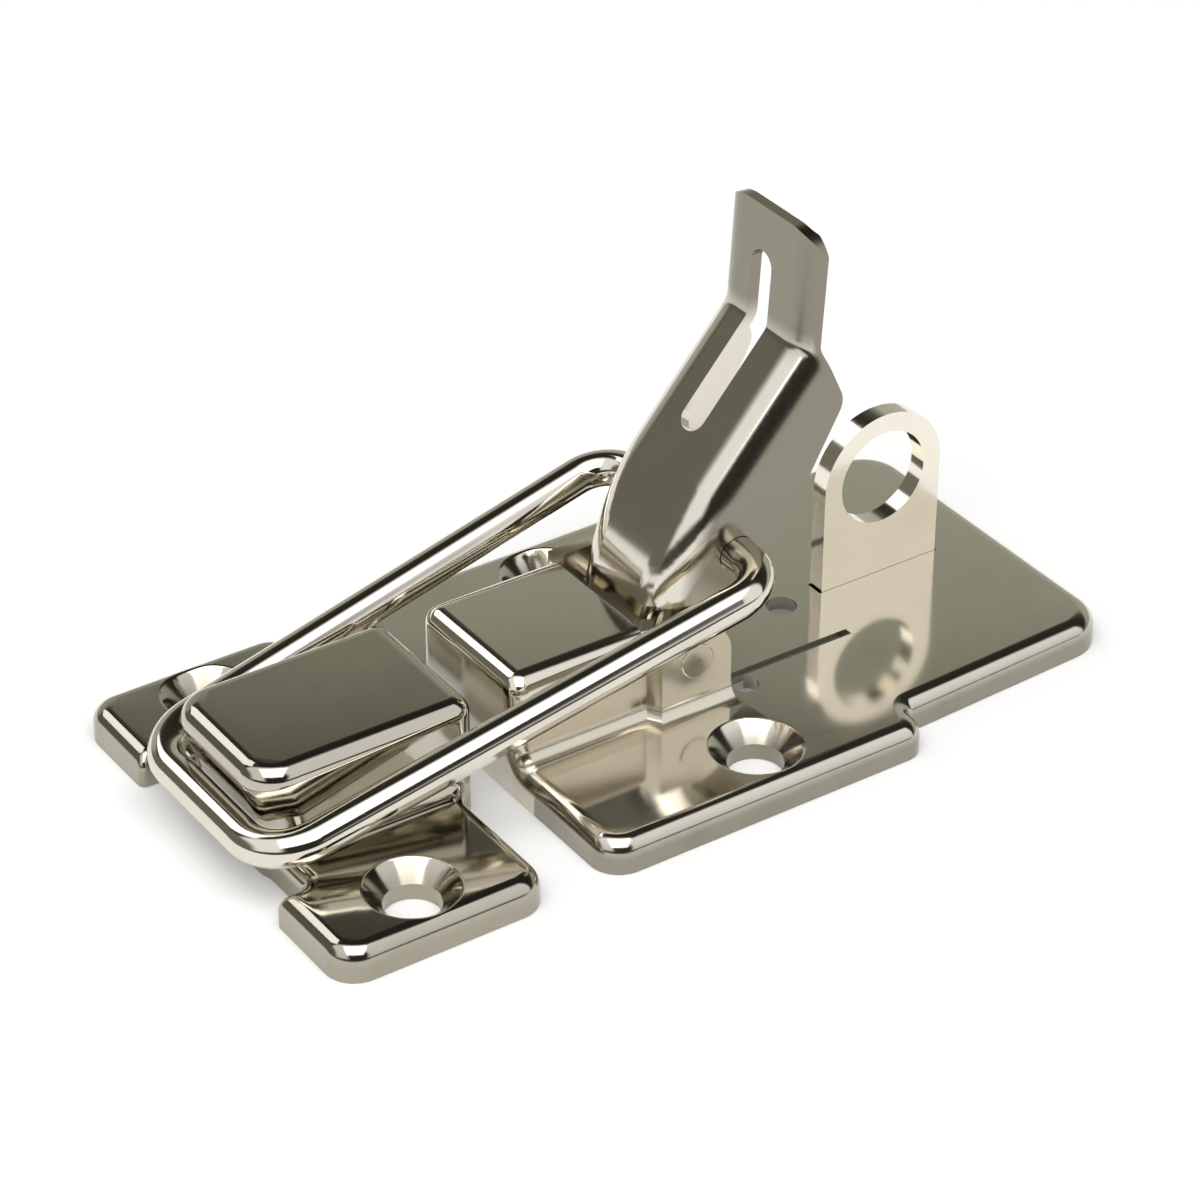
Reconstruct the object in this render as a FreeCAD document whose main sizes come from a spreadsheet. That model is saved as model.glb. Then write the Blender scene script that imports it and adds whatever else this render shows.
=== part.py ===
import FreeCAD, Part
import math
import os
import re

import Sketcher
from FreeCAD import Placement, Rotation, Vector

os.makedirs("parts", exist_ok=True)
doc = FreeCAD.newDocument("over_centre_toggle_latch")

# The origin is on the mounting plane, under the front edge of the base plate and on the centre line.
# The strike lies toward -X, the padlock eye toward +X, and the latch stands on z = 0.

# Driving dimensions, in millimetres and degrees
SIZES = {
    # Both pressed plates: sheet, turned-down lip, rolled edge, domes
    "plate_sheet": 1.2,
    "lip_height": 2.9,
    "edge_roll": 1.45,
    "dome_height": 10.6,
    "dome_half_width": 6.95,
    "dome_roll": 1.7,
    "root_round": 1.5,
    "shoulder_half_width": 20.0,
    # Base plate
    "base_length": 52.6,
    "shoulder_share": 0.5817,
    "shoulder_corner": 2.6,
    "step_corner": 2.0,
    "step_round": 0.8,
    "step_depth": 3.0,
    "tail_taper": 1.0,
    "tail_corner": 3.8,
    "hood_length": 12.4,
    # Ears that carry the lever's pin, and the spring tongue behind them
    "ear_end": 19.7,
    "ear_top": 10.2,
    "ear_round": 3.0,
    "ear_half_width": 8.1,
    "joggle_angle": 60,
    "window_end": 20.4,
    "slit_line": 6.1,
    "slit_width": 0.8,
    "slit_end_share": 0.6274,
    "relief_place": 21.6,
    "relief_line": 7.5,
    "relief_hole": 2.3,
    "tongue_hole": 2.6,
    "tongue_hole_share": 0.5837,
    # Screw holes, countersunk for a wood screw
    "screw_hole": 4.6,
    "screw_sink": 7.6,
    "dimple_top": 8.7,
    "dimple_foot": 5.4,
    "screw_rim": 0.35,
    "base_screw_place": 17.3,
    "base_screw_margin": 5.1,
    "strike_screw_place": -14.6,
    "strike_screw_margin": 4.7,
    # Padlock eye, a plate that stands in a slot of the base on a wider foot
    "eye_sheet": 1.6,
    "eye_share": 0.6578,
    "eye_width": 11.8,
    "eye_line": 0.5,
    "eye_top": 18.0,
    "eye_hole": 8.4,
    "eye_foot_reach": 1.4,
    "eye_foot_height": 1.1,
    "eye_slot_fit": 0.03,
    "eye_slot_relief": 0.2,
    # Lever
    "pivot_place": 16.4,
    "pivot_height": 7.4,
    "lever_sheet": 1.0,
    "lever_half_width": 6.55,
    "nose_half_width": 5.5,
    "taper_end": 11.0,
    "taper_round": 30.0,
    "lever_roll": 3.1,
    "lever_open_angle": 49,
    "lever_closed_angle": 12,
    "lever_top": 6.6,
    "nose_reach": -0.4,
    "nose_kink": 6.0,
    "nose_angle": 27,
    "nose_round": 24.0,
    "bend_share": 0.4715,
    "bend_round": 1.2,
    "tab_angle": 37.5,
    "tab_length": 9.8,
    "tab_corner": 3.7,
    "tab_edge_depth": 1.35,
    "cheek_gap": 0.3,
    "cheek_boss": 2.6,
    "cheek_front": 30.5,
    "cheek_heel": 3.5,
    "cheek_shoulder_share": 0.944,
    "cheek_shoulder_round": 1.9,
    "slot_width": 2.6,
    "slot_share": 0.5887,
    "slot_end_share": 0.62,
    "running_fit": 0.05,
    # Pin riveted through the ears
    "pin_diameter": 3.0,
    "pin_reach": 0.1,
    # Wire loop
    "wire_diameter": 3.0,
    "wire_hole_reach": 8.77,
    "wire_hole_rise": 1.16,
    "bar_place": -23.2,
    "bar_height": 4.8,
    "loop_front_line": 9.3,
    "loop_rear_line": 11.3,
    "loop_front_round": 4.2,
    "loop_rear_round": 3.4,
    "loop_end_line": 4.9,
    # Strike and its catch
    "strike_front": -23.5,
    "strike_end": -5.1,
    "strike_corner": 2.6,
    "notch_line": 10.3,
    "notch_round": 0.6,
    "notch_floor": -21.0,
    "catch_foot": -21.3,
    "catch_end": -3.3,
    "catch_corner": 3.0,
    "catch_rear_corner": 1.7,
    "hook_height": 4.8,
    "hook_lean": 18,
    "hook_round": 2.0,
}

sheet = doc.addObject("Spreadsheet::Sheet", "Sizes")
for row, (name, number) in enumerate(SIZES.items(), start=1):
    sheet.set(f"A{row}", name)
    sheet.set(f"B{row}", str(number))
    sheet.setAlias(f"B{row}", name)
doc.recompute()

# Sizes that follow from others, so that the pieces keep together
FOLLOWING = {
    "tail_half_width": "shoulder_half_width - step_depth",
    "tail_end_half_width": "tail_half_width - tail_taper",
    "shoulder_length": "base_length * shoulder_share",
    "slit_end": "base_length * slit_end_share",
    "tongue_hole_place": "base_length * tongue_hole_share",
    "base_screw_line": "shoulder_half_width - base_screw_margin",
    "strike_screw_line": "shoulder_half_width - strike_screw_margin",
    "eye_start": "base_length * eye_share",
    "eye_end": "eye_start + eye_width",
    "bend_reach": "base_length * bend_share",
    "cheek_shoulder": "bend_reach * cheek_shoulder_share",
    "slot_start": "bend_reach * slot_share",
    "slot_end": "tab_length * slot_end_share",
}

for row, (name, formula) in enumerate(FOLLOWING.items(), start=len(SIZES) + 1):
    sheet.set(f"A{row}", name)
    sheet.set(f"B{row}", f"={formula}")
    sheet.setAlias(f"B{row}", name)
doc.recompute()

FUNCTIONS = {"tan": math.tan, "sin": math.sin, "cos": math.cos}


def factor(word):
    """Returns one word of an expression as a number: a number, a size's name or tan(name)."""
    if word.startswith("-"):
        return -factor(word[1:])
    if word.endswith(")"):
        function, inner = word[:-1].split("(")
        name, _, divisor = inner.partition("/")
        return FUNCTIONS[function](math.radians(factor(name) / float(divisor or 1)))
    if word[0].isalpha():
        return float(getattr(sheet, word))
    return float(word)


def size(name):
    """Returns one driving dimension from the sheet."""
    return float(getattr(sheet, name))


def number_of(expression):
    """Works out an expression made of words joined by spaced signs, as the sheet does."""
    total = 0.0
    for part in expression.replace(" - ", " + -").split(" + "):
        words = part.split(" ")
        product = factor(words[0])
        for sign, word in zip(words[1::2], words[2::2]):
            product = product * factor(word) if sign == "*" else product / factor(word)
        total += product
    return total


def bind(thing, path, expression):
    """Ties a property of an object to an expression of the sheet's names."""
    text = re.sub(r"[a-z_]{4,}", lambda found: "Sizes." + found.group(), expression)
    thing.setExpression(path, text)


def new_body(name, label=None):
    """Makes an empty body that is exported under its label."""
    body = doc.addObject("PartDesign::Body", name)
    body.Label = label or name
    return body


def settle(feature):
    """Recomputes and stops the build if a feature did not come out."""
    doc.recompute()
    if {"Invalid", "Error"} & set(feature.State):
        raise RuntimeError(f"{feature.Name} did not compute: {feature.State}")
    return feature


def new_sketch(body, name, plane, lift=None):
    """Places an empty sketch on one of the body's own planes, lifted along its normal."""
    sketch = body.newObject("Sketcher::SketchObject", name)
    flat = next(each for each in body.Origin.OriginFeatures if each.Role == plane)
    sketch.AttachmentSupport = (flat, [""])
    sketch.MapMode = "FlatFace"
    if lift:
        bind(sketch, "AttachmentOffset.Base.z", lift)
    return sketch


def outline(body, name, plane, corners, lift=None, closed=True):
    """Draws lines through corners (across, up, round), all of them expressions of the sheet."""
    sketch = new_sketch(body, name, plane, lift)
    points = [Vector(number_of(corner[0]), number_of(corner[1]), 0) for corner in corners]
    count = len(points)
    lines = count if closed else count - 1
    for index in range(lines):
        sketch.addGeometry(Part.LineSegment(points[index], points[(index + 1) % count]), False)
    for index in range(count if closed else count - 2):
        sketch.addConstraint(Sketcher.Constraint("Coincident", index, 2, (index + 1) % count, 1))
    for index, corner in enumerate(corners):
        line, end = (index, 1) if index < lines else (index - 1, 2)
        for axis, letter, expression in (("DistanceX", "x", corner[0]), ("DistanceY", "y", corner[1])):
            place = number_of(expression)
            made = sketch.addConstraint(Sketcher.Constraint(axis, -1, 1, line, end, place))
            sketch.renameConstraint(made, f"corner{index}{letter}")
            bind(sketch, f"Constraints.corner{index}{letter}", expression)
    doc.recompute()
    for index, corner in enumerate(corners):
        if len(corner) < 3:
            continue
        before, after = (index - 1) % count, (index + 1) % count
        round_at = number_of(corner[2])
        back = (points[before] - points[index]) * 0.4
        ahead = (points[after] - points[index]) * 0.4
        first, second = (index - 1) % lines if closed else index - 1, index
        sketch.fillet(first, second, points[index] + back, points[index] + ahead, round_at, True, True)
        arcs = [place for place, shape in enumerate(sketch.Geometry) if isinstance(shape, Part.ArcOfCircle)]
        made = sketch.addConstraint(Sketcher.Constraint("Radius", arcs[-1], round_at))
        sketch.renameConstraint(made, f"round{index}")
        bind(sketch, f"Constraints.round{index}", corner[2])
        doc.recompute()
    return settle(sketch)


def circles(body, name, plane, rings, lift=None):
    """Draws circles given as (across, up, diameter) expressions."""
    sketch = new_sketch(body, name, plane, lift)
    for index, (across, up, diameter) in enumerate(rings):
        centre = Vector(number_of(across), number_of(up), 0)
        sketch.addGeometry(Part.Circle(centre, Vector(0, 0, 1), number_of(diameter) / 2), False)
        for axis, letter, expression in (("DistanceX", "x", across), ("DistanceY", "y", up)):
            place = number_of(expression)
            made = sketch.addConstraint(Sketcher.Constraint(axis, -1, 1, index, 3, place))
            sketch.renameConstraint(made, f"centre{index}{letter}")
            bind(sketch, f"Constraints.centre{index}{letter}", expression)
        made = sketch.addConstraint(Sketcher.Constraint("Diameter", index, number_of(diameter)))
        sketch.renameConstraint(made, f"across{index}")
        bind(sketch, f"Constraints.across{index}", diameter)
    return settle(sketch)


def pad(body, sketch, length, both_ways=False):
    """Grows a sketch along its normal, or both ways with the length in all."""
    feature = body.newObject("PartDesign::Pad", sketch.Name + "_pad")
    feature.Profile = sketch
    feature.SideType = "Symmetric" if both_ways else "One side"
    bind(feature, "Length", length)
    return settle(feature)


def cut_through(body, sketch, both_ways=True):
    """Cuts a sketch right through the body, both ways from its plane."""
    before = body.Shape.Volume
    feature = body.newObject("PartDesign::Pocket", sketch.Name + "_cut")
    feature.Profile = sketch
    feature.SideType = "Symmetric" if both_ways else "One side"
    feature.Type = "ThroughAll"
    settle(feature)
    if feature.Shape.Volume >= before - 1e-6:
        raise RuntimeError(f"{feature.Name} cut nothing")
    return feature


def round_edges(body, name, radius, wanted):
    """Rounds each edge of the body's last feature whose middle and direction are wanted."""
    base = body.Tip
    names = []
    for index, edge in enumerate(base.Shape.Edges, start=1):
        if edge.Degenerated:
            continue
        middle = edge.valueAt((edge.FirstParameter + edge.LastParameter) / 2)
        along = edge.tangentAt((edge.FirstParameter + edge.LastParameter) / 2)
        if wanted(middle, along, edge):
            names.append(f"Edge{index}")
    feature = body.newObject("PartDesign::Fillet", name)
    feature.Base = (base, names)
    bind(feature, "Radius", radius)
    return settle(feature)


def near(first, second, by=0.01):
    """Tells whether two lengths agree."""
    return abs(first - second) < by


def hollow_out(body, hollow):
    """Takes the inner form of a pressing away from its outer form."""
    feature = body.newObject("PartDesign::Boolean", body.Name + "_hollowed")
    feature.Type = "Cut"
    feature.setObjects([hollow])
    return settle(feature)


def minus(expression):
    """Turns the sign of an expression made of sums."""
    turned = expression.replace(" + ", " # ").replace(" - ", " + ").replace(" # ", " - ")
    return turned[4:] if turned.startswith("0 - ") else "0 - " + turned


def both_sides(corners):
    """Completes an outline from its +Y half, listed from front to rear."""
    mirrored = [(corner[0], minus(corner[1])) + tuple(corner[2:]) for corner in corners]
    return list(corners) + mirrored[::-1]


def base_form(body, inset, rear, ear_height):
    """Draws the base pressing's outer form, or its inner form one sheet inside."""
    tag = body.Name
    wide, narrow = f"shoulder_half_width - {inset}", f"tail_half_width - {inset}"
    shoulder = f"shoulder_length - {inset}"
    half_plan = [(inset, wide, f"shoulder_corner - {inset}"),
                 (shoulder, wide, f"step_corner - {inset}"),
                 (shoulder, narrow, f"step_round + {inset}"),
                 (f"base_length - {inset}", f"tail_end_half_width - {inset}", f"tail_corner - {inset}")]
    pad(body, outline(body, tag + "_plan", "XY_Plane", both_sides(half_plan)), f"lip_height - {inset}")
    hood = [(inset, f"dome_half_width - {inset}"), ("hood_length", f"dome_half_width - {inset}")]
    pad(body, outline(body, tag + "_hood", "XY_Plane", both_sides(hood)), f"dome_height - {inset}")
    joggle_start = f"hood_length + {inset} * tan(joggle_angle/2)"
    joggle_run = "ear_half_width / tan(joggle_angle) - dome_half_width / tan(joggle_angle)"
    ears = [("hood_length", f"dome_half_width - {inset}"),
            (joggle_start, f"dome_half_width - {inset}"),
            (f"{joggle_start} + {joggle_run}", f"ear_half_width - {inset}"),
            (rear, f"ear_half_width - {inset}")]
    if inset == "0":
        ears.pop(0)
    pad(body, outline(body, tag + "_ears", "XY_Plane", both_sides(ears)), ear_height)
    thick = number_of(inset)
    top = size("lip_height") - thick
    wall = size("dome_half_width") - thick
    crown = size("dome_height") - thick
    round_edges(body, tag + "_hood_rolls", f"dome_roll - {inset}",
                lambda middle, along, edge: near(middle.z, crown) and near(abs(middle.y), wall)
                and middle.x < size("hood_length"))
    outer_line = size("ear_half_width") - thick
    round_edges(body, tag + "_roots", f"root_round + {inset}",
                lambda middle, along, edge: near(middle.z, top) and middle.x > thick + 0.01
                and wall - 0.01 < abs(middle.y) < outer_line + 0.01 and abs(along.x) > 0.1)
    round_edges(body, tag + "_rolls", f"edge_roll - {inset}",
                lambda middle, along, edge: rim_edge(middle, along, edge, thick, top, outer_line))


def rim_edge(middle, along, edge, thick, top, outer_line):
    """Tells whether an edge belongs to the rim that runs round the plate and up over the hood."""
    if near(middle.x, thick):
        return middle.z > top - 0.01
    return near(middle.z, top) and (abs(middle.y) > outer_line + 3 or middle.x > size("shoulder_length"))


def screw_dimples(body, place, line):
    """Presses two cones down to the mounting plane and drills and countersinks them."""
    for side, sign in (("near", "0 - "), ("far", "")):
        cone = body.newObject("PartDesign::AdditiveCone", f"{body.Name}_{side}_dimple")
        bind(cone, "Radius1", "dimple_foot / 2")
        bind(cone, "Radius2", "dimple_top / 2")
        bind(cone, "Height", "lip_height - plate_sheet + 0.1")
        bind(cone, "Placement.Base.x", place)
        bind(cone, "Placement.Base.y", sign + line)
        settle(cone)
    spots = circles(body, body.Name + "_screws", "XY_Plane",
                    [(place, line, "screw_hole"), (place, "0 - " + line, "screw_hole")], "lip_height")
    hole = body.newObject("PartDesign::Hole", body.Name + "_screw_holes")
    hole.Profile = spots
    bind(hole, "Diameter", "screw_hole")
    hole.DepthType = "ThroughAll"
    hole.HoleCutType = "Countersink"
    hole.HoleCutCustomValues = True
    bind(hole, "HoleCutDiameter", "screw_sink")
    hole.HoleCutCountersinkAngle = 90
    settle(hole)
    rim, top = size("screw_sink") / 2, size("lip_height")
    round_edges(body, body.Name + "_screw_rims", "screw_rim",
                lambda middle, along, edge: near(middle.z, top) and isinstance(edge.Curve, Part.Circle)
                and near(edge.Curve.Radius, rim))


def slot_box(body, name, start, end, line, width):
    """Cuts a straight slot through the body along X, with square ends."""
    corners = [(start, f"{line} - {width} / 2"), (end, f"{line} - {width} / 2"),
               (end, f"{line} + {width} / 2"), (start, f"{line} + {width} / 2")]
    return cut_through(body, outline(body, name, "XY_Plane", corners))


def build_base():
    """Presses the base: plate, hood, ears, spring tongue, screw holes and the eye's slot."""
    base = new_body("base_pressing")
    base_form(base, "0", "ear_end", "dome_height + edge_roll")
    hollow = new_body("base_hollow")
    base_form(hollow, "plate_sheet", "window_end", "dome_height + dome_roll")
    hollow_out(base, hollow)
    above = [("hood_length", "ear_top"), ("window_end", "ear_top"),
             ("window_end", "dome_height + dome_roll"), ("hood_length", "dome_height + dome_roll")]
    cut_through(base, outline(base, "above_ears", "XZ_Plane", above))
    round_edges(base, "ear_corners", "ear_round",
                lambda middle, along, edge: near(middle.z, size("ear_top"))
                and near(middle.x, size("ear_end")))
    screw_dimples(base, "base_screw_place", "base_screw_line")
    reliefs = [("relief_place", line, "relief_hole") for line in ("relief_line", "0 - relief_line")]
    cut_through(base, circles(base, "relief_spots", "XY_Plane", reliefs))
    slot_box(base, "far_slit", "window_end - running_fit", "slit_end", "slit_line", "slit_width")
    slot_box(base, "near_slit", "window_end - running_fit", "slit_end", "0 - slit_line", "slit_width")
    tongue = [("tongue_hole_place", "0", "tongue_hole")]
    cut_through(base, circles(base, "tongue_spot", "XY_Plane", tongue))
    slot_box(base, "eye_slot", "eye_start - eye_slot_relief", "eye_end + eye_slot_relief", "eye_line",
             "eye_sheet + 2 * eye_slot_fit")
    pivot = [("pivot_place", "pivot_height", "pin_diameter")]
    cut_through(base, circles(base, "ear_spots", "XZ_Plane", pivot))
    return base


def part_base(base):
    """Parts the base pressing beside its raised middle, so that the hood and ears are one node."""
    middle = new_body("raised_middle")
    line, end = "ear_half_width + root_round + running_fit", "ear_end / 2 + window_end / 2"
    corners = [("0 - plate_sheet", line), (end, line), (end, minus(line)), ("0 - plate_sheet", minus(line))]
    pad(middle, outline(middle, "middle_plan", "XY_Plane", corners), "dome_height * 3", both_ways=True)
    pieces = []
    for kind, name in (("Part::Cut", "base_plate"), ("Part::Common", "hood")):
        piece = doc.addObject(kind, name)
        piece.Base = base
        piece.Tool = middle
        pieces.append(settle(piece))
    return pieces


def build_eye():
    """Cuts the padlock eye: round head with its hole, and a foot wider than the slot it stands in."""
    eye = new_body("padlock_eye")
    middle = "eye_start / 2 + eye_end / 2"
    head = "eye_end / 2 - eye_start / 2 - running_fit"
    under = "lip_height - plate_sheet"
    corners = [("eye_start", under), ("eye_start", "eye_top", head), ("eye_end", "eye_top", head),
               ("eye_end", under), ("eye_end + eye_foot_reach", under),
               ("eye_end + eye_foot_reach", under + " - eye_foot_height"),
               ("eye_start - eye_foot_reach", under + " - eye_foot_height"),
               ("eye_start - eye_foot_reach", under)]
    pad(eye, outline(eye, "eye_side", "XZ_Plane", corners), "eye_sheet", both_ways=True)
    hole = [(middle, "eye_top - eye_end / 2 + eye_start / 2", "eye_hole")]
    cut_through(eye, circles(eye, "eye_hole_spot", "XZ_Plane", hole))
    bind(eye, "Placement.Base.y", "eye_line")
    settle(eye)
    return eye


def strike_plan(body, inset):
    """Draws the strike's flat plate with its rolled rim, or its inner form one sheet inside."""
    front, rear = f"strike_front + {inset}", f"strike_end - {inset}"
    wide, notch = f"shoulder_half_width - {inset}", f"notch_line + {inset}"
    half = [(f"notch_floor + {inset}", notch, f"notch_round + {inset}"),
            (front, notch, "notch_round"),
            (front, wide, f"strike_corner - {inset}"),
            (rear, wide, f"strike_corner - {inset}")]
    pad(body, outline(body, body.Name + "_plan", "XY_Plane", both_sides(half)), f"lip_height - {inset}")
    if inset == "0":
        round_edges(body, body.Name + "_rolls", "edge_roll",
                    lambda middle, along, edge: near(middle.z, size("lip_height")))


def catch_form(body, inset):
    """Draws the strike's catch, its front leaning out over the wire, or its inner form."""
    top = f"dome_height - {inset}"
    lean = (f"catch_foot + {inset} - dome_height * tan(hook_lean) + {inset} * tan(hook_lean)"
            f" + hook_height * tan(hook_lean) + {inset} * tan(hook_lean/2) * tan(hook_lean)")
    foot, rear = f"catch_foot + {inset}", f"catch_end - {inset}"
    kink = f"hook_height + {inset} * tan(hook_lean/2)"
    side = [(foot, "0"), (foot, kink), (lean, top), (rear, top), (rear, "0")]
    width = f"2 * dome_half_width - 2 * {inset}"
    pad(body, outline(body, body.Name + "_side", "XZ_Plane", side), width, both_ways=True)
    round_edges(body, body.Name + "_kink", f"hook_round + {inset}",
                lambda middle, along, edge: near(middle.z, number_of(kink)) and near(abs(along.y), 1))
    middle_x = number_of("catch_foot / 2 + catch_end / 2")
    wall = number_of(f"dome_half_width - {inset}")
    round_edges(body, body.Name + "_front_corners", f"catch_corner - {inset}",
                lambda middle, along, edge: near(abs(middle.y), wall) and middle.x < middle_x
                and abs(along.y) < 0.1 and abs(along.x) < 0.9)
    round_edges(body, body.Name + "_rear_corners", f"catch_rear_corner - {inset}",
                lambda middle, along, edge: near(abs(middle.y), wall) and middle.x > middle_x
                and near(abs(along.z), 1))
    crown = number_of(top)
    round_edges(body, body.Name + "_crown", f"edge_roll - {inset}",
                lambda middle, along, edge: near(middle.z, crown))


def strike_form(body, inset):
    """Joins the strike's plate and catch, with the bends between them."""
    catch = new_body(body.Name + "_catch")
    catch_form(catch, inset)
    strike_plan(body, inset)
    joined = body.newObject("PartDesign::Boolean", body.Name + "_joined")
    joined.Type = "Fuse"
    joined.setObjects([catch])
    settle(joined)
    top = size("lip_height") - number_of(inset)
    wall = number_of(f"dome_half_width - {inset}")
    round_edges(body, body.Name + "_roots", f"root_round + {inset}",
                lambda middle, along, edge: near(middle.z, top) and near(abs(middle.y), wall)
                and abs(along.x) > 0.9)


def build_strike():
    """Presses the strike: plate, notch for the wire, catch and screw holes."""
    strike = new_body("strike_plate")
    strike_form(strike, "0")
    hollow = new_body("strike_hollow")
    strike_form(hollow, "plate_sheet")
    hollow_out(strike, hollow)
    screw_dimples(strike, "strike_screw_place", "strike_screw_line")
    return strike


def lever_form(body, inset):
    """Draws the lever's channel along its own length, or the space inside it."""
    tag = body.Name
    open_by = "0" if inset == "0" else "lever_sheet * 3"
    crown = f"lever_top - {inset}"
    kink_x = f"nose_kink + {inset} * tan(nose_angle/2)"
    bend_x = f"bend_reach + {inset} * tan(tab_angle/2)"
    nose_x = f"{kink_x} - nose_kink + nose_reach - {open_by}"
    slope = "tan(nose_angle)"
    drop = f"nose_kink * {slope} + nose_reach * {slope} - {open_by} * {slope}"
    tip = (f"{bend_x} + tab_length * cos(tab_angle) + {open_by} * cos(tab_angle)",
           f"{crown} + tab_length * sin(tab_angle) + {open_by} * sin(tab_angle)")
    under = (f"{tip[0]} + lever_top * 2 * sin(tab_angle)", f"{tip[1]} - lever_top * 2 * cos(tab_angle)")
    foot = "0 - cheek_boss * 2"
    side = [(nose_x, f"{crown} - {drop}"), (kink_x, crown, f"nose_round - {inset}"),
            (bend_x, crown, f"bend_round + {inset}"), tip, under]
    if inset == "0":
        side = [("0 - cheek_boss", foot), ("0 - cheek_boss", "cheek_boss * tan(cheek_front/2)")] + side
    else:
        side = [(nose_x, foot)] + side
    pad(body, outline(body, tag + "_side", "XZ_Plane", side), "4 * lever_half_width", both_ways=True)
    flank = f"lever_half_width - {inset}"
    taper = f"2 * nose_half_width - lever_half_width - {inset}"
    start, end, beyond = "0 - taper_end", "bend_reach * 2", "lever_half_width * 3"
    plan = [(start, taper), ("taper_end", flank, "taper_round"), (end, flank), (end, beyond), (start, beyond)]
    mirrored = [(corner[0], minus(corner[1])) + tuple(corner[2:]) for corner in plan]
    for name, corners in (("far", plan), ("near", mirrored)):
        cut_through(body, outline(body, f"{tag}_{name}_plan", "XY_Plane", corners))
    least = number_of(f"nose_half_width - {inset}") - 0.5
    first, last = number_of(nose_x), number_of(tip[0])
    round_edges(body, tag + "_rolls", f"lever_roll - {inset}",
                lambda middle, along, edge: abs(middle.y) > least and abs(along.y) < 0.3
                and first < middle.x < last and on_crown(middle, number_of(inset)))


def on_crown(middle, inset):
    """Tells whether a point lies on the lever's top line, at this depth under its skin."""
    bend_x = size("bend_reach")
    line = size("lever_top") - inset
    if middle.x > bend_x:
        line += (middle.x - bend_x) * math.tan(math.radians(size("tab_angle"))) - inset * 0.3
    elif middle.x < size("nose_kink"):
        line -= (size("nose_kink") - middle.x) * math.tan(math.radians(size("nose_angle")))
    return abs(middle.z - line) < 1.0


def tab_sketch_place(sketch):
    """Lays a sketch in the plane of the thumb tab, with its origin at the bend."""
    sketch.AttachmentOffset = Placement(Vector(0, 0, 0), Rotation(Vector(0, -1, 0), size("tab_angle")))
    bind(sketch, "AttachmentOffset.Base.x", "bend_reach")
    bind(sketch, "AttachmentOffset.Base.z", "lever_top")
    settle(sketch)


def build_lever():
    """Folds the lever: channel, nose, cheeks, thumb tab, the eye's slot and the two pivot holes."""
    lever = new_body("lever")
    lever_form(lever, "0")
    hollow = new_body("lever_hollow")
    lever_form(hollow, "lever_sheet")
    hollow_out(lever, hollow)
    rest_line = ("lip_height / cos(lever_closed_angle) + cheek_gap / cos(lever_closed_angle)"
                 " - pivot_height / cos(lever_closed_angle)")
    knee_x = "bend_reach + tab_edge_depth * sin(tab_angle)"
    knee_z = "lever_top - tab_edge_depth * cos(tab_angle)"
    end_x = f"{knee_x} + tab_length * 2 * cos(tab_angle)"
    boss, foot, rise = "0 - cheek_boss", "0 - lever_top * 3", "tan(lever_closed_angle)"
    below = [("0 - cheek_boss * 2", boss), (boss, boss, "cheek_boss - running_fit"),
             ("cheek_heel", f"{rest_line} + cheek_heel * {rise}", "cheek_heel"),
             ("cheek_shoulder", f"{rest_line} + cheek_shoulder * {rise}", "cheek_shoulder_round"),
             (knee_x, knee_z, "cheek_shoulder_round"), (end_x, f"{knee_z} + tab_length * 2 * sin(tab_angle)"),
             (end_x, foot), ("0 - cheek_boss * 2", foot)]
    cut_through(lever, outline(lever, "below_cheeks", "XZ_Plane", below))
    pivots = [("0", "0", "pin_diameter + 2 * running_fit"),
              ("wire_hole_reach", "wire_hole_rise", "wire_diameter + 2 * running_fit")]
    cut_through(lever, circles(lever, "pivot_spots", "XZ_Plane", pivots))
    clip, beyond = "tab_length - tab_corner * 1.5", "tab_length * 2"
    for name, side in (("far", "lever_half_width"), ("near", "0 - lever_half_width")):
        corner = [(clip, side), ("tab_length", side, "tab_corner"), ("tab_length", "0"), (beyond, "0"),
                  (beyond, f"{side} * 2"), (clip, f"{side} * 2")]
        sketch = outline(lever, f"{name}_tab_corner", "XY_Plane", corner)
        tab_sketch_place(sketch)
        cut_through(lever, sketch)
    low, high = "eye_line - slot_width / 2", "eye_line + slot_width / 2"
    slot_round, past_bend = "slot_width * 0.49", "bend_reach + lever_sheet"
    body_slot = [("slot_start", low, slot_round), (past_bend, low), (past_bend, high),
                 ("slot_start", high, slot_round)]
    cut_through(lever, outline(lever, "body_slot", "XY_Plane", body_slot))
    tab_slot = [("0 - lever_sheet", low), ("slot_end", low, slot_round), ("slot_end", high, slot_round),
                ("0 - lever_sheet", high)]
    sketch = outline(lever, "tab_slot", "XY_Plane", tab_slot)
    tab_sketch_place(sketch)
    cut_through(lever, sketch)
    lever.Placement = Placement(Vector(0, 0, 0), Rotation(Vector(0, -1, 0), size("lever_open_angle")))
    bind(lever, "Placement.Base.x", "pivot_place")
    bind(lever, "Placement.Base.z", "pivot_height")
    settle(lever)
    return lever


def build_pin():
    """Turns the plain pin, its ends rounded over just outside the ears."""
    pin = new_body("pivot_pin")
    tip = "ear_half_width + pin_reach"
    corners = [("pin_diameter / 2", minus(tip), "pin_reach"), ("pin_diameter / 2", tip, "pin_reach"),
               ("0", tip), ("0", minus(tip))]
    sketch = outline(pin, "pin_profile", "XY_Plane", corners)
    turned = pin.newObject("PartDesign::Revolution", "pin_turned")
    turned.Profile = sketch
    turned.ReferenceAxis = (sketch, ["V_Axis"])
    turned.Angle = 360
    settle(turned)
    bind(pin, "Placement.Base.x", "pivot_place")
    bind(pin, "Placement.Base.z", "pivot_height")
    settle(pin)
    return pin


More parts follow.
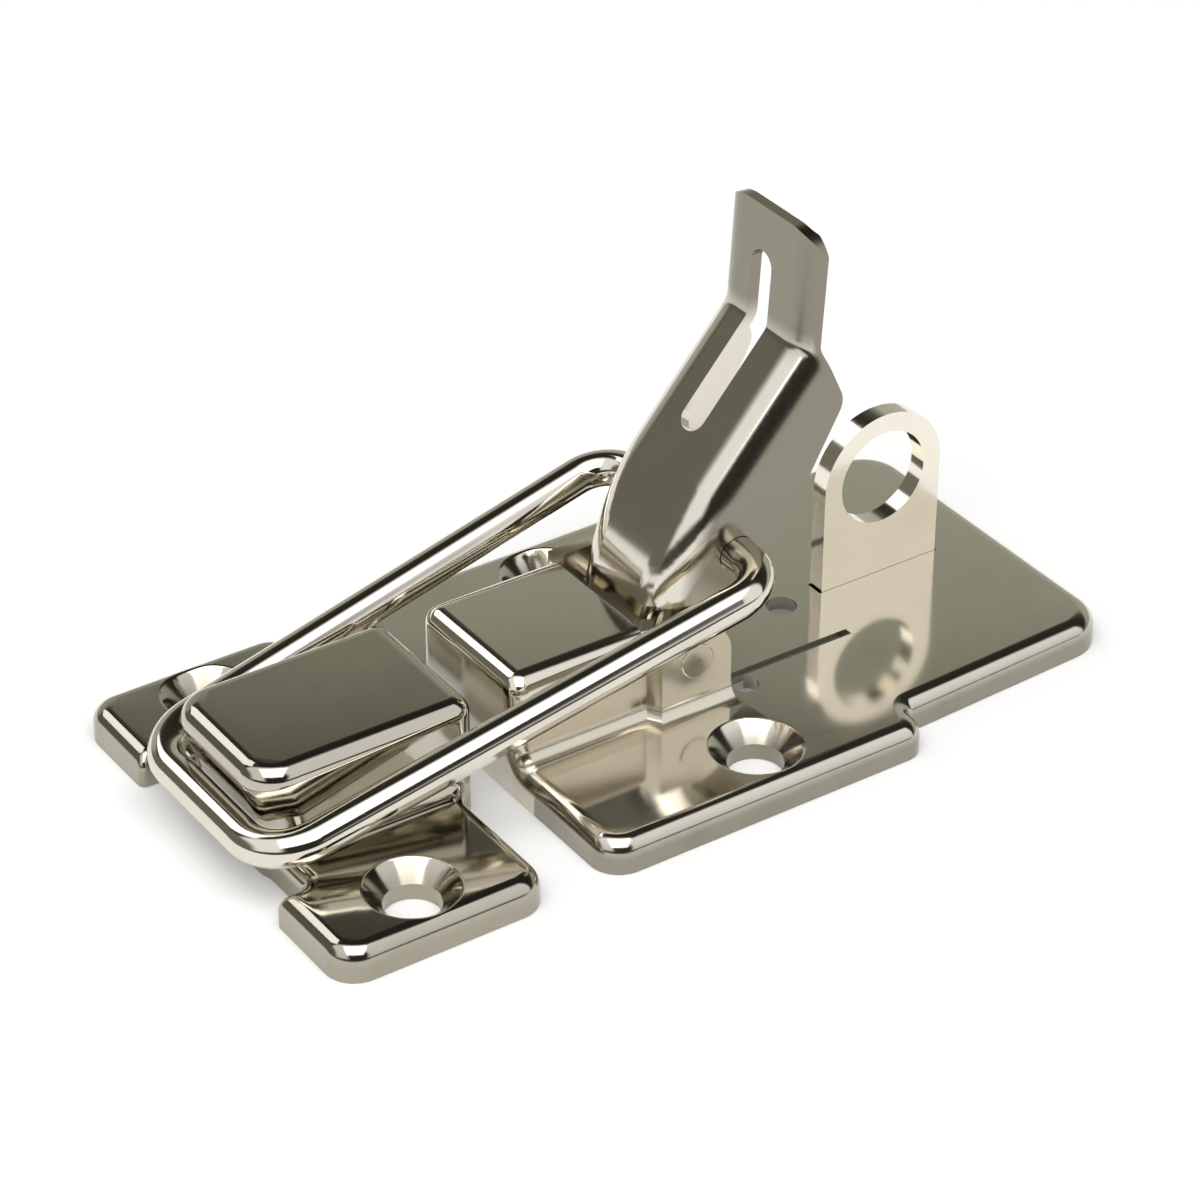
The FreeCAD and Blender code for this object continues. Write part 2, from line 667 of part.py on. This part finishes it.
def build_loop():
    """Bends the wire loop in its own plane, then turns it about the bar to its resting slope."""
    across = number_of("pivot_place + wire_hole_reach * cos(lever_open_angle)"
                       " - wire_hole_rise * sin(lever_open_angle) - bar_place")
    up = number_of("pivot_height + wire_hole_reach * sin(lever_open_angle)"
                   " + wire_hole_rise * cos(lever_open_angle) - bar_height")
    sheet.set("A200", "loop_length")
    sheet.set("B200", f"{math.hypot(across, up):.4f}")
    sheet.setAlias("B200", "loop_length")
    doc.recompute()
    loop = new_body("wire_loop")
    path = [("loop_length", "0 - loop_end_line"), ("loop_length", "0 - loop_rear_line", "loop_rear_round"),
            ("0", "0 - loop_front_line", "loop_front_round"), ("0", "loop_front_line", "loop_front_round"),
            ("loop_length", "loop_rear_line", "loop_rear_round"), ("loop_length", "loop_end_line")]
    spine = outline(loop, "wire_path", "XY_Plane", path, closed=False)
    end = [("loop_length", "0", "wire_diameter")]
    section = circles(loop, "wire_section", "XZ_Plane", end, "loop_end_line")
    pipe = loop.newObject("PartDesign::AdditivePipe", "wire")
    pipe.Profile = section
    pipe.Spine = spine
    settle(pipe)
    slope = math.degrees(math.atan2(up, across))
    loop.Placement = Placement(Vector(0, 0, 0), Rotation(Vector(0, -1, 0), slope))
    bind(loop, "Placement.Base.x", "bar_place")
    bind(loop, "Placement.Base.z", "bar_height")
    settle(loop)
    return loop


pieces = part_base(build_base()) + [build_eye(), build_strike(), build_lever(), build_pin(), build_loop()]
for piece in pieces:
    shape = piece.Shape
    if shape.isNull() or not shape.isValid() or len(shape.Solids) != 1:
        raise RuntimeError(f"{piece.Label} is not one valid solid")
    shape.exportStep(f"parts/{piece.Label}.step")
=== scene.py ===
"""Looks of an over centre toggle latch: nickel-plated finishes, studio, floor and camera."""

import logging
import math
from dataclasses import dataclass, field
from enum import Enum
from typing import Callable, Dict, List, Optional, Tuple

import bpy
from mathutils import Matrix, Vector


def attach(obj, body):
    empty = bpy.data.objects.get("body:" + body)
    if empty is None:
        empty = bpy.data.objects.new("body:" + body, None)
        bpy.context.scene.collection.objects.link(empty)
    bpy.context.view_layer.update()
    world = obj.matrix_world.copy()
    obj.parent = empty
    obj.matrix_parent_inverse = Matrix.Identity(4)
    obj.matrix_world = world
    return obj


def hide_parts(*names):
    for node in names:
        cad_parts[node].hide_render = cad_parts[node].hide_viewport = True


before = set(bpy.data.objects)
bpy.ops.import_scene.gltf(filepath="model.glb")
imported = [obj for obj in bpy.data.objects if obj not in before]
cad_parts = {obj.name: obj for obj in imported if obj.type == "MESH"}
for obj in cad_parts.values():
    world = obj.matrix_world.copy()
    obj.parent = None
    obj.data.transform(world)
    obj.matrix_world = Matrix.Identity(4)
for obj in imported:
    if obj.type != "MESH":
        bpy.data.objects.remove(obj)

logging.basicConfig(level=logging.INFO, format="%(levelname)s %(message)s")
LOG = logging.getLogger("toggle_latch")

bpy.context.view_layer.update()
MM = 0.001
Colour = Tuple[float, float, float]

# How the plating wears: where its cloudy patches begin and are full, and what roughness they add
WORN_FROM, WORN_TO = 0.45, 0.75
WORN_ROUGHNESS = 0.12
MARK_ROUGHNESS = 0.09
LEAST_ROUGHNESS = 0.03
FLANK_BLEND = 0.5 * MM

# The shared plating group: its inputs, its outputs, and its patterns (scale, detail, stretched)
PLATING_INPUTS = {
    "NodeSocketVector": ("Place", "Grain"),
    "NodeSocketColor": ("Bright", "Tarnish And Shade"),
    "NodeSocketFloat": ("Polish", "Wear", "Ripple", "Scratch", "Painted Shade From", "Painted Shade To", "Painted Shade Share",
                        "Flank", "Flank Shade Share"),
}
PLATING_OUTPUTS = {"Colour": "NodeSocketColor", "Roughness": "NodeSocketFloat", "Height": "NodeSocketFloat"}
PATTERNS = ((140.0, 4.0, False), (420.0, 6.0, True), (2600.0, 3.0, True), (55.0, 1.0, False))

# Welding and shading of the shown pressings
WELD = 0.002 * MM
CREASE = math.radians(32.0)

# The eye's slot in the base plate: its reach along X and where its long sides are brought
SLOT_REACH = (33.0 * MM, 50.0 * MM)
SLOT_HALF = 2.5 * MM
SLOT_SIDES = (-0.33 * MM, 1.33 * MM)


class Grain(Enum):
    """Which way the polishing or drawing marks of a metal run."""

    ALONG_X = (1.0, 14.0, 14.0)
    ANY_WAY = (6.0, 6.0, 6.0)


@dataclass(frozen=True)
class NickelFinish:
    """One nickel-plated finish: colour, polish, how much wear it shows, and where shade is painted into its
    colour.

    Args:
        name: Material name in plain words.
        bright: Colour of the clean plating.
        tarnish_and_shade: Colour that the plating turns where it is handled; the zones below also paint it
            as shade.
        polish: Roughness of the clean plating.
        wear: Share of the tarnish, 0 to 1.
        ripple: Height of the slow unevenness of the pressed sheet, in metres.
        scratch: Height of the fine marks, in metres.
        grain: Direction of the fine marks.
        painted_shade_from: Height in metres at which the zone of painted shade begins.
        painted_shade_to: Height in metres at which it is full; it may lie below painted_shade_from.
        painted_shade_share: Share of the tarnish colour painted as shade in the full zone.
        flank: Distance from the middle plane, in metres, beyond which the flanks take the tarnish colour as
            painted shade.
        flank_shade_share: Share of the tarnish colour painted as shade on the flanks.
    """

    name: str
    bright: Colour
    tarnish_and_shade: Colour
    polish: float
    wear: float
    ripple: float
    scratch: float
    grain: Grain
    painted_shade_from: float = 0.0
    painted_shade_to: float = -0.001
    painted_shade_share: float = 0.0
    flank: float = 1.0
    flank_shade_share: float = 0.0

    def inputs(self) -> Dict[str, object]:
        """Returns what the plating group takes from this finish, by the names of its inputs."""
        return {
            "Grain": self.grain.value,
            "Bright": (*self.bright, 1.0),
            "Tarnish And Shade": (*self.tarnish_and_shade, 1.0),
            "Polish": self.polish,
            "Wear": self.wear,
            "Ripple": self.ripple,
            "Scratch": self.scratch,
            "Painted Shade From": self.painted_shade_from,
            "Painted Shade To": self.painted_shade_to,
            "Painted Shade Share": self.painted_shade_share,
            "Flank": self.flank,
            "Flank Shade Share": self.flank_shade_share,
        }


class NodeTools:
    """Small helpers for building node trees."""

    def __init__(self, tree: bpy.types.NodeTree) -> None:
        """Keeps the tree that the nodes go into."""
        self.tree = tree

    def add(self, kind: str, **values: object) -> bpy.types.Node:
        """Adds a node and sets its properties and unlinked inputs.

        Args:
            kind: Blender's node type name.
            **values: Properties, or inputs by name with spaces as underscores.

        Returns:
            The new node.
        """
        node = self.tree.nodes.new(kind)
        for key, value in values.items():
            if hasattr(node, key):
                setattr(node, key, value)
            else:
                node.inputs[key.replace("_", " ")].default_value = value
        return node

    def link(self, source: bpy.types.NodeSocket, target: bpy.types.NodeSocket) -> None:
        """Joins an output to an input."""
        self.tree.links.new(source, target)

    def feed(self, value: object, target: bpy.types.NodeSocket) -> None:
        """Joins a socket to an input, or sets the input to a number."""
        if isinstance(value, bpy.types.NodeSocket):
            self.link(value, target)
        else:
            target.default_value = value

    def math(self, operation: str, *values: object) -> bpy.types.NodeSocket:
        """Adds a Math node whose inputs are sockets or numbers, and returns its output."""
        node = self.add("ShaderNodeMath", operation=operation)
        for value, target in zip(values, node.inputs):
            self.feed(value, target)
        return node.outputs[0]

    def smooth_step(self, value: bpy.types.NodeSocket, low: object, high: object,
                    ends: Tuple[float, float] = (0.0, 1.0)) -> bpy.types.NodeSocket:
        """Adds a soft step from low to high.

        Args:
            value: What is stepped.
            low: Where the step begins, a socket or a number.
            high: Where it ends; it may lie below low.
            ends: What comes out before and after the step.

        Returns:
            The stepped value.
        """
        node = self.add("ShaderNodeMapRange", interpolation_type="SMOOTHSTEP")
        for number, target in zip((value, low, high, *ends), node.inputs):
            self.feed(number, target)
        return node.outputs[0]

    def blend(self, share: bpy.types.NodeSocket, first: object, second: object) -> bpy.types.NodeSocket:
        """Mixes two colours, sockets or values, by a share, and returns the colour."""
        node = self.add("ShaderNodeMix", data_type="RGBA")
        for value, index in ((share, 0), (first, 6), (second, 7)):
            self.feed(value, node.inputs[index])
        return node.outputs[2]


def plating_group() -> bpy.types.NodeTree:
    """Builds the shared node group for bright nickel plate, with its zones of painted shade.

    Returns:
        A group that puts out Colour, Roughness and Height, all of which vary over the surface.
    """
    group = bpy.data.node_groups.new("bright_plating", "ShaderNodeTree")
    for kind, names in PLATING_INPUTS.items():
        for name in names:
            group.interface.new_socket(name=name, in_out="INPUT", socket_type=kind)
    for name, kind in PLATING_OUTPUTS.items():
        group.interface.new_socket(name=name, in_out="OUTPUT", socket_type=kind)
    tools = NodeTools(group)
    source = group.nodes.new("NodeGroupInput").outputs
    result = group.nodes.new("NodeGroupOutput").inputs

    def noise(scale: float, detail: float, stretched: bool) -> bpy.types.NodeSocket:
        """Adds a noise pattern, stretched along the grain or not."""
        pattern = tools.add("ShaderNodeTexNoise", Scale=scale, Detail=detail, Roughness=0.6)
        place = source["Place"]
        if stretched:
            stretch = tools.add("ShaderNodeVectorMath", operation="MULTIPLY")
            tools.link(place, stretch.inputs[0])
            tools.link(source["Grain"], stretch.inputs[1])
            place = stretch.outputs[0]
        tools.link(place, pattern.inputs["Vector"])
        return pattern.outputs["Fac"]

    clouds, marks, fine, slow = (noise(*pattern) for pattern in PATTERNS)
    patches = tools.smooth_step(clouds, WORN_FROM, WORN_TO)
    share = tools.math("MULTIPLY", patches, source["Wear"])
    split = tools.add("ShaderNodeSeparateXYZ")
    tools.link(source["Place"], split.inputs[0])
    # Painted shade: below or above a set height, and on the flanks beyond a set distance from the middle
    # plane, the tarnish colour is mixed in; the cloudy patches are real wear.
    zone = tools.smooth_step(split.outputs["Z"], source["Painted Shade From"], source["Painted Shade To"])
    height_shade = tools.math("MULTIPLY", zone, source["Painted Shade Share"])
    beyond = tools.math("SUBTRACT", tools.math("ABSOLUTE", split.outputs["Y"]), source["Flank"])
    edge = tools.math("MAXIMUM", tools.math("DIVIDE", beyond, FLANK_BLEND), 0.0)
    flank = tools.math("MULTIPLY", tools.math("MINIMUM", edge, 1.0), source["Flank Shade Share"])
    share = tools.math("MINIMUM", tools.math("ADD", tools.math("ADD", share, height_shade), flank), 1.0)
    tools.link(tools.blend(share, source["Bright"], source["Tarnish And Shade"]), result["Colour"])
    rough = tools.math("MULTIPLY_ADD", share, WORN_ROUGHNESS, source["Polish"])
    streaks = tools.math("MULTIPLY", tools.math("SUBTRACT", marks, 0.5), MARK_ROUGHNESS)
    rough = tools.math("MAXIMUM", tools.math("ADD", rough, streaks), LEAST_ROUGHNESS)
    tools.link(rough, result["Roughness"])
    ripple = tools.math("MULTIPLY", slow, source["Ripple"])
    scratch = tools.math("MULTIPLY", tools.math("ADD", fine, marks), source["Scratch"])
    tools.link(tools.math("ADD", ripple, scratch), result["Height"])
    return group


def nickel_material(finish: NickelFinish, group: bpy.types.NodeTree) -> bpy.types.Material:
    """Makes the material of one nickel finish.

    Args:
        finish: The finish.
        group: The shared plating group.

    Returns:
        The material.
    """
    material = bpy.data.materials.new(finish.name)
    material.use_nodes = True
    tree = material.node_tree
    shader = tree.nodes["Principled BSDF"]
    tools = NodeTools(tree)
    shader.inputs["Metallic"].default_value = 1.0
    shader.inputs["Specular IOR Level"].default_value = 0.5
    place = tools.add("ShaderNodeTexCoord")
    plating = tools.add("ShaderNodeGroup", node_tree=group)
    tools.link(place.outputs["Object"], plating.inputs["Place"])
    for name, value in finish.inputs().items():
        plating.inputs[name].default_value = value
    bump = tools.add("ShaderNodeBump", Strength=1.0, Distance=1.0)
    tools.link(plating.outputs["Height"], bump.inputs["Height"])
    tools.link(bump.outputs["Normal"], shader.inputs["Normal"])
    tools.link(plating.outputs["Colour"], shader.inputs["Base Color"])
    tools.link(plating.outputs["Roughness"], shader.inputs["Roughness"])
    return material


BRIGHT = (0.74, 0.70, 0.615)
# Tarnish of worn plating; on the strike plate it is also painted as shade on the lips.
WORN_AND_SHADED = (0.36, 0.335, 0.265)
# Base plate: its tarnish colour serves the wear patches and is painted as shade on the lips, darker towards
# the bottom below 3 mm.
PLATE_FINISH = NickelFinish("pressed_nickel", BRIGHT, (0.26, 0.245, 0.195), 0.10, 0.08, 2.0e-5, 3.0e-8,
                            Grain.ALONG_X, 0.0030, 0.0012, 0.9)
# Hood: painted reflection tint, its side walls beyond 6.4 mm from the middle take a slightly darker, warmer
# colour than its top; it shows no wear.
HOOD_FINISH = NickelFinish("hood_nickel", BRIGHT, (0.70, 0.645, 0.54), 0.10, 0.0, 2.0e-5, 3.0e-8,
                           Grain.ALONG_X, flank=6.4 * MM, flank_shade_share=1.0)
# Strike plate: painted shade, its lips below 3 mm take the dark tarnish colour, darker towards the bottom;
# its cloudy patches are real wear.
STRIKE_FINISH = NickelFinish("strike_nickel", (0.54, 0.51, 0.435), WORN_AND_SHADED, 0.09, 0.15, 2.0e-5, 3.0e-8,
                             Grain.ALONG_X, 0.0030, 0.0012, 0.9)
# Padlock eye: painted highlight, its plating colour is brighter than the nickel of the other parts.
EYE_FINISH = NickelFinish("eye_nickel", (0.88, 0.83, 0.725), WORN_AND_SHADED, 0.12, 0.06, 1.0e-5, 4.0e-8,
                          Grain.ANY_WAY)
# Lever: painted shade, its tab above 29 mm and its cheeks beyond 5.6 mm from the middle take the dark
# tarnish colour in full.
LEVER_FINISH = NickelFinish("lever_nickel", BRIGHT, (0.27, 0.252, 0.20), 0.10, 0.06, 1.5e-5, 3.0e-8,
                            Grain.ANY_WAY, 0.0290, 0.0320, 1.0, 5.6 * MM, 1.0)
WIRE_FINISH = NickelFinish("wire_nickel", BRIGHT, WORN_AND_SHADED, 0.09, 0.15, 0.8e-5, 3.0e-8, Grain.ALONG_X)
PIN_FINISH = NickelFinish("pin_nickel", (0.66, 0.62, 0.54), WORN_AND_SHADED, 0.2, 0.3, 1.0e-5, 6.0e-8,
                          Grain.ANY_WAY)


def dress_node(name: str, material: bpy.types.Material) -> None:
    """Gives a CAD node its finish.

    Args:
        name: The node's name.
        material: The finish.
    """
    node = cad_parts[name]
    for slot in node.material_slots:
        slot.material = material
    LOG.info("dressed %s with %s", name, material.name)


def smooth_copy(name: str, body: str, slide: Optional[Callable[[Vector], float]] = None) -> None:
    """Stands a welded copy in for a pressing, so that its cones and rolls shade evenly.

    Args:
        name: The node's name.
        body: The CAD body that the copy rides on.
        slide: Gives the y of a corner of the copy, if some have to move.
    """
    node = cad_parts[name]
    piece = bpy.data.objects.new(f"{name}_pressing", node.data.copy())
    piece.data.transform(node.matrix_world)
    bpy.context.collection.objects.link(piece)
    bpy.ops.object.select_all(action="DESELECT")
    bpy.context.view_layer.objects.active = piece
    piece.select_set(True)
    bpy.ops.mesh.customdata_custom_splitnormals_clear()
    if slide:
        for corner in piece.data.vertices:
            corner.co.y = slide(corner.co)
    bpy.ops.object.mode_set(mode="EDIT")
    bpy.ops.mesh.select_all(action="SELECT")
    bpy.ops.mesh.remove_doubles(threshold=WELD)
    bpy.ops.mesh.normals_make_consistent(inside=False)
    bpy.ops.object.mode_set(mode="OBJECT")
    bpy.ops.object.shade_smooth_by_angle(angle=CREASE)
    bpy.ops.object.modifier_add(type="WEIGHTED_NORMAL")
    piece.modifiers[-1].keep_sharp = True
    bpy.ops.object.modifier_apply(modifier=piece.modifiers[-1].name)
    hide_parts(name)
    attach(piece, body)


def close_eye_slot(corner: Vector) -> float:
    """Brings the long sides of the eye's slot up to the eye's faces.

    Args:
        corner: A corner of the base plate.

    Returns:
        The corner's new y.
    """
    if SLOT_REACH[0] < corner.x < SLOT_REACH[1] and abs(corner.y) < SLOT_HALF:
        return SLOT_SIDES[0] if corner.y < 0.0 else SLOT_SIDES[1]
    return corner.y


@dataclass
class Latch:
    """The pieces of the latch and the finish of each."""

    finishes: Dict[str, NickelFinish] = field(default_factory=lambda: {
        "base_plate": PLATE_FINISH,
        "hood": HOOD_FINISH,
        "strike_plate": STRIKE_FINISH,
        "padlock_eye": EYE_FINISH,
        "lever": LEVER_FINISH,
        "wire_loop": WIRE_FINISH,
        "pivot_pin": PIN_FINISH,
    })
    pressings: Dict[str, Tuple[str, Optional[Callable[[Vector], float]]]] = field(default_factory=lambda: {
        "base_plate": ("base", close_eye_slot),
        "hood": ("base", None),
        "strike_plate": ("strike", None),
    })

    def dress(self) -> None:
        """Gives every CAD node its material."""
        group = plating_group()
        made: Dict[str, bpy.types.Material] = {}
        for node, finish in self.finishes.items():
            if finish.name not in made:
                made[finish.name] = nickel_material(finish, group)
            dress_node(node, made[finish.name])
        for node, (body, slide) in self.pressings.items():
            smooth_copy(node, body, slide)


@dataclass
class Studio:
    """The floor, the light and the camera at the photograph's angle."""

    azimuth: float = math.radians(34.427)
    elevation: float = math.radians(33.3226)
    roll: float = math.radians(-0.347)
    distance: float = 0.338338
    target: Tuple[float, float, float] = (0.020, 0.0103817, 0.002)
    lens: float = 122.605
    shift: Tuple[float, float] = (-0.00204, -0.002725)
    floor_half: float = 3.0

    def forward(self) -> Vector:
        """The direction in which the camera looks."""
        flat = math.cos(self.elevation)
        return Vector((math.sin(self.azimuth) * flat, math.cos(self.azimuth) * flat,
                       -math.sin(self.elevation)))

    def make_camera(self) -> None:
        """Places the camera where the photograph was taken from."""
        ahead = self.forward()
        right = Vector((math.cos(self.azimuth), -math.sin(self.azimuth), 0.0))
        down = ahead.cross(right)
        turned_right = right * math.cos(self.roll) + down * math.sin(self.roll)
        turned_down = down * math.cos(self.roll) - right * math.sin(self.roll)
        data = bpy.data.cameras.new("camera")
        data.lens = self.lens
        data.sensor_width = 36.0
        data.shift_x, data.shift_y = self.shift
        data.clip_start, data.clip_end = 0.01, 20.0
        camera = bpy.data.objects.new("camera", data)
        bpy.context.collection.objects.link(camera)
        axes = Matrix((turned_right, -turned_down, -ahead)).transposed()
        place = Vector(self.target) - ahead * self.distance
        camera.matrix_world = Matrix.Translation(place) @ axes.to_4x4()
        bpy.context.scene.camera = camera

    def make_floor(self) -> None:
        """Lays the plain pale floor."""
        bpy.ops.object.select_all(action="DESELECT")
        bpy.ops.mesh.primitive_plane_add(size=2 * self.floor_half, location=(0.0, 0.0, -0.00005))
        floor = bpy.context.object
        floor.name = "floor"
        material = bpy.data.materials.new("floor_paper")
        material.use_nodes = True
        tools = NodeTools(material.node_tree)
        shader = material.node_tree.nodes["Principled BSDF"]
        shader.inputs["Roughness"].default_value = 0.9
        shader.inputs["Specular IOR Level"].default_value = 0.0
        shader.inputs["Base Color"].default_value = (0.9, 0.9, 0.9, 1.0)
        rays = tools.add("ShaderNodeLightPath").outputs
        seen = tools.math("MAXIMUM", rays["Is Camera Ray"], rays["Is Glossy Ray"])
        seen = tools.math("MAXIMUM", seen, rays["Is Transmission Ray"])
        shader.inputs["Emission Color"].default_value = (1.0, 1.0, 1.0, 1.0)
        tools.link(tools.math("MULTIPLY", seen, FLOOR_GLOW), shader.inputs["Emission Strength"])
        floor.data.materials.append(material)

    def make_world(self) -> None:
        """Surrounds the object with the room that polished metal mirrors.

        The room is worked out in the camera's upright plane: an angle of 0 is the horizon on the
        camera's side, a quarter turn is straight overhead, and a half turn is the horizon behind.
        """
        world = bpy.data.worlds.new("studio_room")
        bpy.context.scene.world = world
        world.use_nodes = True
        tree = world.node_tree
        tools = NodeTools(tree)
        background = tree.nodes["Background"]
        direction = tools.add("ShaderNodeTexCoord").outputs["Generated"]
        toward = tools.add("ShaderNodeVectorMath", operation="DOT_PRODUCT")
        tools.link(direction, toward.inputs[0])
        toward.inputs[1].default_value = (-math.sin(self.azimuth), -math.cos(self.azimuth), 0.0)
        split = tools.add("ShaderNodeSeparateXYZ")
        tools.link(direction, split.inputs[0])
        angle = tools.math("ARCTAN2", split.outputs["Z"], toward.outputs["Value"])
        share = tools.math("DIVIDE", angle, math.pi)
        ramp = tools.add("ShaderNodeValToRGB")
        ramp.color_ramp.interpolation = "EASE"
        elements = ramp.color_ramp.elements
        while len(elements) < len(ROOM):
            elements.new(0.5)
        for element, (place, colour) in zip(elements, ROOM):
            element.position = place
            element.color = (*colour, 1.0)
        tools.link(share, ramp.inputs[0])
        across = tools.add("ShaderNodeVectorMath", operation="DOT_PRODUCT")
        tools.link(direction, across.inputs[0])
        across.inputs[1].default_value = (math.cos(self.azimuth), -math.sin(self.azimuth), 0.0)
        aside = tools.smooth_step(across.outputs["Value"], *WALLS_FROM)
        parts = []
        for value, centre, reach in zip((share, across.outputs["Value"]), *STAND):
            away = tools.math("DIVIDE", tools.math("SUBTRACT", value, centre), reach)
            parts.append(tools.math("MULTIPLY", away, away))
        stand = tools.smooth_step(tools.math("ADD", *parts), *STAND_EDGE, ends=(1.0, 0.0))
        seen = tools.blend(aside, ramp.outputs[0], (*WALLS, 1.0))
        seen = tools.blend(stand, seen, (*DARK, 1.0))
        tools.link(seen, background.inputs["Color"])
        background.inputs["Strength"].default_value = 1.0

    def make_lamps(self) -> None:
        """Hangs the broad soft lamp over the floor and a smaller one at the far left."""
        for name, size, power, place in LAMPS:
            data = bpy.data.lights.new(name, "AREA")
            data.shape = "RECTANGLE"
            data.size = data.size_y = size
            data.energy = power
            lamp = bpy.data.objects.new(name, data)
            bpy.context.collection.objects.link(lamp)
            lamp.location = place
            lamp.rotation_mode = "QUATERNION"
            lamp.rotation_quaternion = (Vector((0.01, 0.0, 0.0)) - Vector(place)).to_track_quat("-Z", "Y")

    def build(self) -> None:
        """Makes the floor, room, lamps and camera."""
        self.make_floor()
        self.make_world()
        self.make_lamps()
        self.make_camera()
        LOG.info("studio ready")


# Lamps: name, side in metres, power in watts, place
LAMPS: List[Tuple[str, float, float, Tuple[float, float, float]]] = [
    ("overhead", 1.2, 10.2, (-0.25, -0.45, 1.1)),
    ("far_left", 0.5, 1.25, (-0.26, 0.74, 0.72)),
]
# Glow of the floor where it is seen, straight or mirrored
FLOOR_GLOW = 0.14
# The wall at the camera's left, and the sideways part of a direction over which it fades in
WALLS: Colour = (0.165, 0.158, 0.128)
WALLS_FROM = (-0.75, -0.88)
# The dark stand round the camera: centre and reach, each as angle and sideways part, and its edge
DARK: Colour = (0.03, 0.028, 0.022)
STAND = ((0.17, 0.2), (0.20, 0.54))
STAND_EDGE = (0.6, 1.2)
# The room's colour by angle, as a share of a half turn from the camera's horizon to the far one
ROOM: List[Tuple[float, Colour]] = [
    (0.0, (0.05, 0.047, 0.038)),
    (0.06, (0.06, 0.056, 0.045)),
    (0.11, (1.0, 1.0, 1.0)),
    (0.52, (1.0, 1.0, 1.0)),
    (0.58, (0.02, 0.02, 0.016)),
    (0.74, (0.03, 0.028, 0.022)),
    (0.78, (0.07, 0.07, 0.055)),
    (0.797, (0.09, 0.09, 0.07)),
    (0.812, (0.33, 0.335, 0.275)),
    (0.835, (0.42, 0.425, 0.365)),
    (1.0, (0.47, 0.46, 0.40)),
]


def main() -> None:
    """Dresses the latch and sets up the studio."""
    bpy.context.scene.view_settings.view_transform = "Standard"
    Latch().dress()
    Studio().build()


if __name__ == "__main__":
    main()
